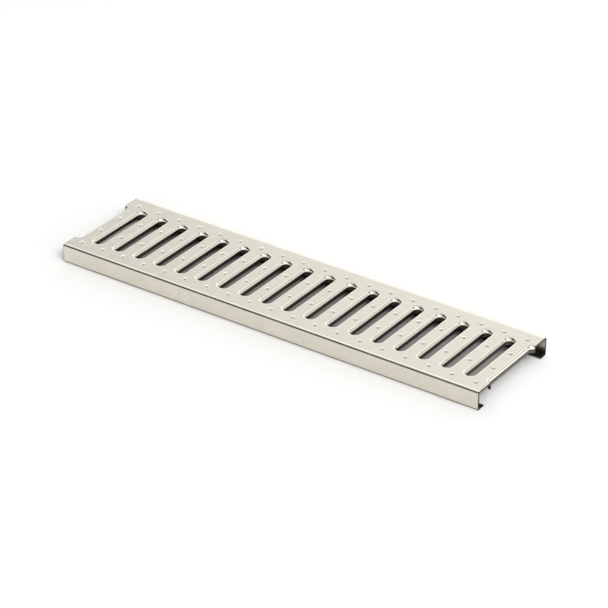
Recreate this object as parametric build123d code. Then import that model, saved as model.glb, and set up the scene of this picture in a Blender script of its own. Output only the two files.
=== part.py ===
"""Pressed steel grate for a drainage channel.

One piece of thin sheet steel. The flat deck has long folds down both sides and a flat lip
turned in at the foot of each, so that the section is a wide C lying on its open side. A row
of slots runs across the deck. The edge of each slot is drawn down into a short collar, which
stiffens the deck. Small round studs are pressed up between the slots for grip. The ends are
cut across a slot, so that each end shows a part of its collar.

X runs along the grate, Y across it and Z up. The origin is at the middle of the grate, on the
plane that its lips rest on. All sizes are in millimetres.
"""
from build123d import *
import os

# The folded sheet
sheet = 1.5
length = 500.0
width = 124.0
height = 20.0
fold_inside_radius = 0.4
lip_width = 10.0

# The slots: the clear opening between the walls of a collar, and the collar itself
slot_count = 18
slot_pitch = 26.4
slot_width = 10.0
slot_length = 80.0
collar_inside_radius = 1.5
collar_depth = 7.4

# The raised studs, in rows that run along the grate
stud_rows = 4
stud_row_pitch = 31.5
stud_diameter = 6.0
stud_height = 0.55

# Worked out from the sizes above
fold_radius = fold_inside_radius + sheet
collar_radius = collar_inside_radius + sheet
rim_width = slot_width + 2 * collar_radius
rim_length = slot_length + 2 * collar_radius
end_centre = (rim_length - rim_width) / 2
collar_count = slot_count + 2
land_count = slot_count + 1
stud_ball = ((stud_diameter / 2) ** 2 + stud_height**2) / (2 * stud_height)


def folded_sheet():
    """The C-shaped channel section, swept along the whole grate, before the deck is pressed."""
    with BuildSketch(Plane.YZ) as section:
        with Locations((0, height / 2)):
            RectangleRounded(width, height, fold_radius)
            RectangleRounded(
                width - 2 * sheet, height - 2 * sheet, fold_inside_radius, mode=Mode.SUBTRACT
            )
        with Locations((0, sheet / 2)):
            Rectangle(width - 2 * lip_width, sheet, mode=Mode.SUBTRACT)
    return extrude(section.sketch, amount=length / 2, both=True)


def collar_section():
    """Cross-section of a collar: a quarter bend from the deck, then a short straight wall."""
    rim = rim_width / 2
    wall = slot_width / 2
    with BuildSketch(Plane.XZ) as section:
        with BuildLine():
            CenterArc((rim, -collar_radius), collar_radius, 90, 90)
            Polyline(
                (wall, -collar_radius),
                (wall, -collar_depth),
                (wall + sheet, -collar_depth),
                (wall + sheet, -collar_radius),
            )
            CenterArc((rim, -collar_radius), collar_inside_radius, 180, -90)
            Line((rim, -sheet), (rim, 0))
        make_face()
    return section.sketch


def collar():
    """One closed collar round a slot that lies along Y, with its rim at the height of the deck."""
    section = collar_section()
    side = extrude(section, amount=end_centre, both=True)
    at_end = Pos(0, end_centre, 0) * section
    end = revolve(at_end, Axis((0, end_centre, 0), (0, 0, 1)), revolution_arc=180)
    half = side + end
    return Pos(0, 0, height) * (half + Rot(0, 0, 180) * half)


def rim_opening():
    """What a collar takes out of the flat deck."""
    outline = SlotOverall(rim_length, rim_width, rotation=90)
    return extrude(Pos(0, 0, height - sheet) * outline, amount=sheet)


def stud_cap():
    """The part of a stud that stands above the deck: the top of a ball."""
    ball = Pos(0, 0, height + stud_height - stud_ball) * Sphere(stud_ball)
    above = Pos(0, 0, height + stud_ball) * Box(2 * stud_ball, 2 * stud_ball, 2 * stud_ball)
    return ball & above


def grate():
    slots = GridLocations(slot_pitch, 1, collar_count, 1)
    studs = GridLocations(slot_pitch, stud_row_pitch, land_count, stud_rows)
    opening = rim_opening()
    rim = collar()
    stud = stud_cap()
    hollow = Pos(0, 0, -sheet) * stud

    body = folded_sheet()
    body = body - [place * opening for place in slots]
    body = body + [place * rim for place in slots] + [place * stud for place in studs]
    body = body - [place * hollow for place in studs]
    reach = Pos(0, 0, height / 2) * Box(length, 2 * width, 2 * height)
    return body & reach


os.makedirs("parts", exist_ok=True)
export_step(grate(), "parts/grate.step")
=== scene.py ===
"""Looks of the channel grate: satin stainless steel on a plain white studio floor.

All lengths are in metres, in the part's own frame: X along the grate, Y across it and Z up.
"""
import math

import bpy
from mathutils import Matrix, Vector


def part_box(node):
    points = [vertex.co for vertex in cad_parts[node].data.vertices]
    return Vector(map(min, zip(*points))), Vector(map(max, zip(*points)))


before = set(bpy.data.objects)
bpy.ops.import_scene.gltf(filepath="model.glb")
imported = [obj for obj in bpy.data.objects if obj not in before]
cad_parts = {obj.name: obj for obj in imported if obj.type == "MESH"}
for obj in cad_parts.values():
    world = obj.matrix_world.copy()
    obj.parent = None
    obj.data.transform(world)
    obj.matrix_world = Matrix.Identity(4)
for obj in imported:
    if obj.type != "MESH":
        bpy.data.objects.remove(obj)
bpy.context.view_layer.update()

# The grate's own measures, from the frame: half its length and width, and the height of its deck
STUD_HEIGHT = 0.00055
HALF_LENGTH, HALF_WIDTH, STUD_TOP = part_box("grate")[1]
DECK = STUD_TOP - STUD_HEIGHT

# Camera, at the photograph's place: where it stands, the point that it looks at and its lens
CAMERA_PLACE = Vector((1.4196, -2.0176, 1.4353))
CAMERA_AIM = Vector((0.0213, -0.0203, 0.0200))
CAMERA_LENS = 169.3
CAMERA_SENSOR = 36.0

# Studio floor, a hair below the lips: white paint, with a soft-edged grey patch of painted shade
# under the grate
FLOOR_SIZE = 8.0
FLOOR_DROP = 0.0002
FLOOR_WHITE = 0.98
FLOOR_SHADE = 0.70
SHADE_PATCH_HALF_LENGTH = HALF_LENGTH - 0.024
SHADE_PATCH_HALF_WIDTH = HALF_WIDTH - 0.012
SHADE_PATCH_EDGE = 0.020

# The room as the steel and the floor see it: rounds of soft light on its walls and ceiling. Each
# ring of them has its angle up from level and their radius, in degrees, and then the strength of
# each round by its angle from +Y toward +X. The small ones lie about where the deck mirrors the
# room. A round is even over ROUND_CORE of its radius and fades from there.
WIDE = 32
SMALL = 17
ROUND_CORE = 0.2
RINGS = [
    (6, WIDE, {-110: 0.3, 15: 0.6, 50: 1.0, 100: 1.2, 150: 1.2}),
    (30, WIDE, {-35: 0.2, -10: 0.7, 20: 0.5, 110: 0.7, 170: 1.4}),
    (52, WIDE, {-85: 0.3, 40: 0.6, 110: 0.9}),
    (82, WIDE, {0: 0.8}),
    (10, SMALL, {-45: 0.9, -30: 0.6, 0: 0.7}),
    (27, SMALL, {-60: 0.7, -30: 0.45}),
    (44, SMALL, {-75: 0.6, -50: 0.6}),
]

# The lamp: a large square of slightly warm light, with its side in metres and power in watts
LAMP_WAY = Vector((0.63, -0.36, 0.69))
LAMP_DISTANCE = 14.0
LAMP_SIDE = 4.6
LAMP_POWER = 830.0
LAMP_TINT = (1.0, 0.97, 0.93)

# The colour of the background and of the room's rounds of light
WHITE = (1, 1, 1, 1)

# Colours of the steel: the outside, worn rims and studs lightened as painted highlight, painted
# highlights, painted shade, and the cut ends
BRIGHT_TONE = (0.715, 0.687, 0.601)
WEAR_AND_SHEEN_TONE = (0.79, 0.762, 0.68)
HIGHLIGHT_TONE = (0.93, 0.90, 0.80)
SHADE_TONE = (0.14, 0.132, 0.115)
CUT_AND_EDGE_SHADE_TONE = (0.05, 0.047, 0.042)

# Roughness of the outside, of what is worn and of the duller parts that are painted in shade
BRIGHT_ROUGHNESS = 0.26
WORN_ROUGHNESS = 0.13
DULL_ROUGHNESS = 0.38

# How much of each finish, painted highlight and painted shade lies over the one below it, where it
# isn't all of it
WEAR_AND_SHEEN_SHARE = 0.75
EDGE_HIGHLIGHT_SHARE = 0.90
HIGHLIGHT_LINE_SHARE = 0.75
SHADE_BAND_SHARE = 0.30
FOLD_SHADE_SHARE = 0.80
LIP_MATTE = 0.85

# The slots lie within this reach of the grate's middle line. Their rims bend down from the deck,
# worn and lightened as painted highlight: a line of painted highlight at the top, a grey band of
# painted shade, a matt foot painted pale as a highlight and then the wall in painted shade.
# A pair is the bottom and top of a line, or the heights between which a finish comes or goes.
SLOT_REACH = 0.046
RIM_HEIGHTS = (DECK - 0.0028, DECK - 0.0001)
HIGHLIGHT_LINE_HEIGHTS = (DECK - 0.0004, DECK - 0.00002)
SHADE_BAND_HEIGHTS = (DECK - 0.0014, DECK - 0.0007)
HIGHLIGHT_FOOT_HEIGHTS = (DECK - 0.0024, DECK - 0.0014)
WALL_HEIGHTS = (DECK - 0.0034, DECK - 0.0029)

# The studs, from their foot up, and the line of painted highlight along the deck beside each long
# fold
STUD_HEIGHTS = (DECK + 0.00003, DECK + 0.00020)
EDGE_HIGHLIGHT_REACH = (HALF_WIDTH - 0.0040, HALF_WIDTH - 0.0032)
EDGE_HIGHLIGHT_BOTTOM = DECK - 0.0008

# The bend of each long fold and the foot of each side, painted dark as shade
FOLD_REACH = HALF_WIDTH - 0.0015
FOLD_HEIGHTS = (DECK - 0.0016, DECK - 0.0007)
FOOT_HEIGHTS = (0.0010, 0.0016)

# The inside and whatever faces down, painted in shade, and the cut ends
INSIDE_REACH = HALF_WIDTH - 0.0013
INSIDE_HEIGHTS = (0.005, 0.0115)
UNDERSIDE_SLOPE = -0.3
UNDERSIDE_BOTTOM = 0.001
# The cut ends reach 0.4 mm onto each face beside them, which is painted shade along the edges
CUT_AND_EDGE_SHADE_START = HALF_LENGTH - 0.0004

# Fine grain along the grate, and soft clouds in its colour and roughness
GRAIN_SIZE = 0.0006
GRAIN_HEIGHT = 0.000004
GRAIN_STRETCH = 9.0
GRAIN_DETAIL = 2.0
CLOUD_SIZE = 0.011
CLOUD_DETAIL = 4.0
CLOUD_SPAN = (0.30, 0.70)
CLOUD_TONE = 0.05
CLOUD_ROUGHNESS = 0.018


def direction(azimuth, elevation):
    """The unit way at these angles in degrees: round from +Y toward +X, and up from level."""
    level = math.cos(math.radians(elevation))
    turn = math.radians(azimuth)
    return math.sin(turn) * level, math.cos(turn) * level, math.sin(math.radians(elevation))


class Nodes:
    """Short words for building the node tree of a material or of the world."""

    def __init__(self, owner):
        owner.use_nodes = True
        self.tree = owner.node_tree
        self.tree.nodes.clear()

    def add(self, kind, **settings):
        """A new node, with these settings of its own."""
        node = self.tree.nodes.new(kind)
        for key, value in settings.items():
            setattr(node, key, value)
        return node

    def link(self, source, target):
        self.tree.links.new(source, target)

    def math(self, operation, first, second):
        """The result of an operation on a socket and either a number or another socket."""
        node = self.add("ShaderNodeMath", operation=operation)
        self.link(first, node.inputs[0])
        if isinstance(second, (int, float)):
            node.inputs[1].default_value = second
        else:
            self.link(second, node.inputs[1])
        return node.outputs[0]

    def vector(self, operation, first, second=None):
        """The result of an operation on a vector socket and, if it takes them, three numbers."""
        node = self.add("ShaderNodeVectorMath", operation=operation)
        self.link(first, node.inputs[0])
        if second is not None:
            node.inputs[1].default_value = second
        return node.outputs["Value" if operation in ("LENGTH", "DOT_PRODUCT") else "Vector"]

    def ramp(self, value, span, results):
        """A smooth passage from the first result to the second as the value crosses the span."""
        node = self.add("ShaderNodeMapRange", interpolation_type="SMOOTHSTEP")
        node.inputs["From Min"].default_value, node.inputs["From Max"].default_value = span
        node.inputs["To Min"].default_value, node.inputs["To Max"].default_value = results
        self.link(value, node.inputs["Value"])
        return node.outputs["Result"]

    def rising(self, value, span):
        return self.ramp(value, span, (0.0, 1.0))

    def falling(self, value, span):
        return self.ramp(value, span, (1.0, 0.0))

    def under(self, value, limit):
        return self.math("LESS_THAN", value, limit)

    def over(self, value, limit):
        return self.math("GREATER_THAN", value, limit)

    def both(self, first, second):
        return self.math("MULTIPLY", first, second)

    def either(self, first, second):
        return self.math("MAXIMUM", first, second)

    def between(self, value, limits):
        return self.both(self.over(value, limits[0]), self.under(value, limits[1]))

    def noise(self, place, size, detail):
        """Soft noise from 0 to 1, with blots of about this size."""
        node = self.add("ShaderNodeTexNoise")
        node.inputs["Scale"].default_value = 1 / size
        node.inputs["Detail"].default_value = detail
        self.link(place, node.inputs["Vector"])
        return node.outputs["Fac"]

    def blend(self, share, first, second):
        """A colour between two, each either three numbers or another node's colour."""
        node = self.add("ShaderNodeMix", data_type="RGBA")
        self.link(share, node.inputs["Factor"])
        for colour, socket in ((first, node.inputs["A"]), (second, node.inputs["B"])):
            if isinstance(colour, tuple):
                socket.default_value = colour + (1,)
            else:
                self.link(colour, socket)
        return node.outputs["Result"]

    def round_of_light(self, way, azimuth, elevation, radius, strength):
        """The strength of a round of light seen along a way, by the angle to the round's middle."""
        likeness = self.vector("DOT_PRODUCT", way, direction(azimuth, elevation))
        rim, core = (math.cos(math.radians(angle)) for angle in (radius, radius * ROUND_CORE))
        return self.ramp(likeness, (rim, core), (0.0, strength))


def painted_shade_share(nodes, y, z, slope):
    """How much painted shade a point has, on steel that is also duller there: the slots' walls, the
    inside, the underside, the folds and the feet.
    """
    walls = nodes.both(nodes.under(y, SLOT_REACH), nodes.falling(z, WALL_HEIGHTS))
    inside = nodes.both(nodes.under(y, INSIDE_REACH), nodes.falling(z, INSIDE_HEIGHTS))
    underside = nodes.both(nodes.under(slope, UNDERSIDE_SLOPE), nodes.over(z, UNDERSIDE_BOTTOM))
    # Painted shade on the bend of each long fold and on the foot of each side
    fold_shade = nodes.both(nodes.falling(z, FOLD_HEIGHTS), nodes.over(z, FOLD_HEIGHTS[0]))
    side_shade = nodes.both(nodes.either(fold_shade, nodes.falling(z, FOOT_HEIGHTS)), nodes.over(y, FOLD_REACH))
    below = nodes.either(nodes.either(walls, inside), underside)
    return nodes.either(below, nodes.both(side_shade, FOLD_SHADE_SHARE))


def slot_shares(nodes, y, z):
    """How much a point has of each finish of the slots' rims, from the deck down to the wall."""
    slots = nodes.under(y, SLOT_REACH)
    wear_and_sheen = nodes.both(slots, nodes.between(z, RIM_HEIGHTS))
    highlight_line = nodes.both(nodes.both(slots, nodes.between(z, HIGHLIGHT_LINE_HEIGHTS)), HIGHLIGHT_LINE_SHARE)
    # The grey band is painted shade: a darker reflection painted on the bend
    shade_band = nodes.both(nodes.both(slots, nodes.between(z, SHADE_BAND_HEIGHTS)), SHADE_BAND_SHARE)
    lip = nodes.both(nodes.falling(z, HIGHLIGHT_FOOT_HEIGHTS), nodes.rising(z, WALL_HEIGHTS))
    return wear_and_sheen, highlight_line, shade_band, nodes.both(slots, lip)


def steel_shares(nodes, coordinates):
    """How much of each finish, painted highlight and painted shade a point of the grate has. Both
    halves and both ends are alike.
    """
    axes = nodes.add("ShaderNodeSeparateXYZ")
    nodes.link(nodes.vector("ABSOLUTE", coordinates.outputs["Object"]), axes.inputs[0])
    x, y, z = (axes.outputs[axis] for axis in "XYZ")
    facing = nodes.add("ShaderNodeSeparateXYZ")
    nodes.link(coordinates.outputs["Normal"], facing.inputs[0])

    rims, highlight_line, shade_band, lip = slot_shares(nodes, y, z)
    wear_and_sheen = nodes.both(nodes.either(rims, nodes.rising(z, STUD_HEIGHTS)), WEAR_AND_SHEEN_SHARE)
    # A painted highlight along the deck beside each long fold
    edge_highlight = nodes.both(nodes.rising(y, EDGE_HIGHLIGHT_REACH), nodes.over(z, EDGE_HIGHLIGHT_BOTTOM))
    highlight = nodes.either(nodes.either(nodes.both(edge_highlight, EDGE_HIGHLIGHT_SHARE), lip), highlight_line)
    shade_and_dull = painted_shade_share(nodes, y, z, facing.outputs["Z"])
    # Dark cut ends, with painted shade on the faces beside them
    cut = nodes.over(x, CUT_AND_EDGE_SHADE_START)
    return {"wear_and_sheen": wear_and_sheen, "shade_band": shade_band, "lip": lip, "highlight": highlight, "shade_and_dull": shade_and_dull, "cut": cut}


def steel_tone(nodes, shares, clouds):
    """The colour of the steel: each finish, painted highlight and painted shade lies over the last,
    and clouds darken it a little.
    """
    # Worn rims and studs: a lighter tone that is partly wear and partly a painted highlight
    tone = nodes.blend(shares["wear_and_sheen"], BRIGHT_TONE, WEAR_AND_SHEEN_TONE)
    # A grey band of painted shade on each rim
    tone = nodes.blend(shares["shade_band"], tone, SHADE_TONE)
    # Painted highlights: the line at the top of each rim, its pale foot and the line along each
    # long fold
    tone = nodes.blend(shares["highlight"], tone, HIGHLIGHT_TONE)
    # Painted shade on the slots' walls, the inside, the underside, the folds and the feet
    tone = nodes.blend(shares["shade_and_dull"], tone, SHADE_TONE)
    tone = nodes.blend(shares["cut"], tone, CUT_AND_EDGE_SHADE_TONE)
    shaded = nodes.add("ShaderNodeVectorMath", operation="SCALE")
    nodes.link(tone, shaded.inputs[0])
    nodes.link(nodes.ramp(clouds, CLOUD_SPAN, (1.0 - CLOUD_TONE, 1.0)), shaded.inputs["Scale"])
    return shaded.outputs["Vector"]


def steel_roughness(nodes, shares, clouds):
    """Rougher where the steel is dull and painted in shade, smoother where it is worn, and a little
    cloudy.
    """
    rough = nodes.ramp(shares["shade_and_dull"], (0.0, 1.0), (BRIGHT_ROUGHNESS, DULL_ROUGHNESS))
    polish = nodes.both(shares["wear_and_sheen"], BRIGHT_ROUGHNESS - WORN_ROUGHNESS)
    cloudy = nodes.ramp(clouds, CLOUD_SPAN, (-CLOUD_ROUGHNESS, CLOUD_ROUGHNESS))
    return nodes.math("ADD", nodes.math("SUBTRACT", rough, polish), cloudy)


def steel_grain(nodes, place):
    """The normal of a surface with fine low ridges that run along the grate."""
    along = nodes.add("ShaderNodeMapping")
    along.inputs["Scale"].default_value = (1 / GRAIN_STRETCH, 1.0, 1.0)
    nodes.link(place, along.inputs["Vector"])
    bump = nodes.add("ShaderNodeBump")
    bump.inputs["Strength"].default_value = 1.0
    bump.inputs["Distance"].default_value = GRAIN_HEIGHT
    ridges = nodes.noise(along.outputs["Vector"], GRAIN_SIZE, GRAIN_DETAIL)
    nodes.link(ridges, bump.inputs["Height"])
    return bump.outputs["Normal"]


def steel_material():
    """Stainless steel: pale and satin outside, dull and painted in shade inside, and dark where it
    was cut.
    """
    material = bpy.data.materials.new("satin_steel")
    nodes = Nodes(material)
    out = nodes.add("ShaderNodeOutputMaterial")
    metal = nodes.add("ShaderNodeBsdfPrincipled")
    coordinates = nodes.add("ShaderNodeTexCoord")
    place = coordinates.outputs["Object"]
    shares = steel_shares(nodes, coordinates)
    clouds = nodes.noise(place, CLOUD_SIZE, CLOUD_DETAIL)
    # The foot painted pale as a highlight is also matt, so the lamp lights it as well
    metallic = nodes.ramp(shares["lip"], (0.0, 1.0), (1.0, 1.0 - LIP_MATTE))
    nodes.link(metallic, metal.inputs["Metallic"])
    nodes.link(steel_tone(nodes, shares, clouds), metal.inputs["Base Color"])
    nodes.link(steel_roughness(nodes, shares, clouds), metal.inputs["Roughness"])
    nodes.link(steel_grain(nodes, place), metal.inputs["Normal"])
    nodes.link(metal.outputs["BSDF"], out.inputs["Surface"])
    return material


def floor_material():
    """White paint that turns grey below the grate as painted shade, by the distance out from a
    rectangle there.
    """
    material = bpy.data.materials.new("studio_floor")
    nodes = Nodes(material)
    out = nodes.add("ShaderNodeOutputMaterial")
    paint = nodes.add("ShaderNodeBsdfDiffuse")
    place = nodes.vector("ABSOLUTE", nodes.add("ShaderNodeTexCoord").outputs["Object"])
    beyond = nodes.vector("SUBTRACT", place, (SHADE_PATCH_HALF_LENGTH, SHADE_PATCH_HALF_WIDTH, 0))
    distance = nodes.vector("LENGTH", nodes.vector("MAXIMUM", beyond, (0, 0, 0)))
    # The grey below the grate is painted shade
    floor_shade = nodes.ramp(distance, (0.0, SHADE_PATCH_EDGE), (FLOOR_SHADE, FLOOR_WHITE))
    nodes.link(floor_shade, paint.inputs["Color"])
    nodes.link(paint.outputs["BSDF"], out.inputs["Surface"])
    return material


def make_floor():
    """A plain square sheet with its middle below the grate."""
    half = FLOOR_SIZE / 2
    corners = [(-half, -half, 0), (half, -half, 0), (half, half, 0), (-half, half, 0)]
    mesh = bpy.data.meshes.new("studio_floor")
    mesh.from_pydata(corners, [], [(0, 1, 2, 3)])
    mesh.materials.append(floor_material())
    floor = bpy.data.objects.new("studio_floor", mesh)
    floor.location.z = -FLOOR_DROP
    bpy.context.collection.objects.link(floor)


def room_light(nodes):
    """The strength of the room's light along each way: all of its rounds added up."""
    way = nodes.add("ShaderNodeTexCoord").outputs["Generated"]
    rounds = [
        nodes.round_of_light(way, azimuth, elevation, radius, strength)
        for elevation, radius, strengths in RINGS
        for azimuth, strength in strengths.items()
    ]
    light = rounds[0]
    for another in rounds[1:]:
        light = nodes.math("ADD", light, another)
    return light


def make_world():
    """White as the camera sees it, and the room's rounds of light as all else sees it."""
    world = bpy.data.worlds.new("studio")
    bpy.context.scene.world = world
    nodes = Nodes(world)
    out = nodes.add("ShaderNodeOutputWorld")
    mix = nodes.add("ShaderNodeMixShader")
    path = nodes.add("ShaderNodeLightPath")
    room = nodes.add("ShaderNodeBackground")
    white = nodes.add("ShaderNodeBackground")
    nodes.link(room_light(nodes), room.inputs["Strength"])
    room.inputs["Color"].default_value = WHITE
    white.inputs["Color"].default_value = WHITE
    white.inputs["Strength"].default_value = 1.0
    nodes.link(path.outputs["Is Camera Ray"], mix.inputs["Fac"])
    nodes.link(room.outputs["Background"], mix.inputs[1])
    nodes.link(white.outputs["Background"], mix.inputs[2])
    nodes.link(mix.outputs["Shader"], out.inputs["Surface"])


def turn_toward(thing, aim):
    """Turns a lamp or a camera, at its place, so that it looks at the aim."""
    thing.rotation_mode = "QUATERNION"
    thing.rotation_quaternion = (aim - thing.location).to_track_quat("-Z", "Y")


def make_lamp():
    """The one lamp, high on the right and a little to the front, which casts the soft shadow."""
    data = bpy.data.lights.new("key", "AREA")
    data.size, data.energy, data.color = LAMP_SIDE, LAMP_POWER, LAMP_TINT
    lamp = bpy.data.objects.new("key", data)
    lamp.location = LAMP_WAY.normalized() * LAMP_DISTANCE
    turn_toward(lamp, Vector())
    bpy.context.collection.objects.link(lamp)


def make_camera():
    """The photograph's view of the grate."""
    data = bpy.data.cameras.new("camera")
    data.lens, data.sensor_width = CAMERA_LENS, CAMERA_SENSOR
    camera = bpy.data.objects.new("camera", data)
    camera.location = CAMERA_PLACE
    turn_toward(camera, CAMERA_AIM)
    bpy.context.collection.objects.link(camera)
    bpy.context.scene.camera = camera


steel = steel_material()
for material_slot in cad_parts["grate"].material_slots:
    material_slot.material = steel

make_floor()
make_world()
make_lamp()
make_camera()
bpy.context.scene.view_settings.view_transform = "Standard"
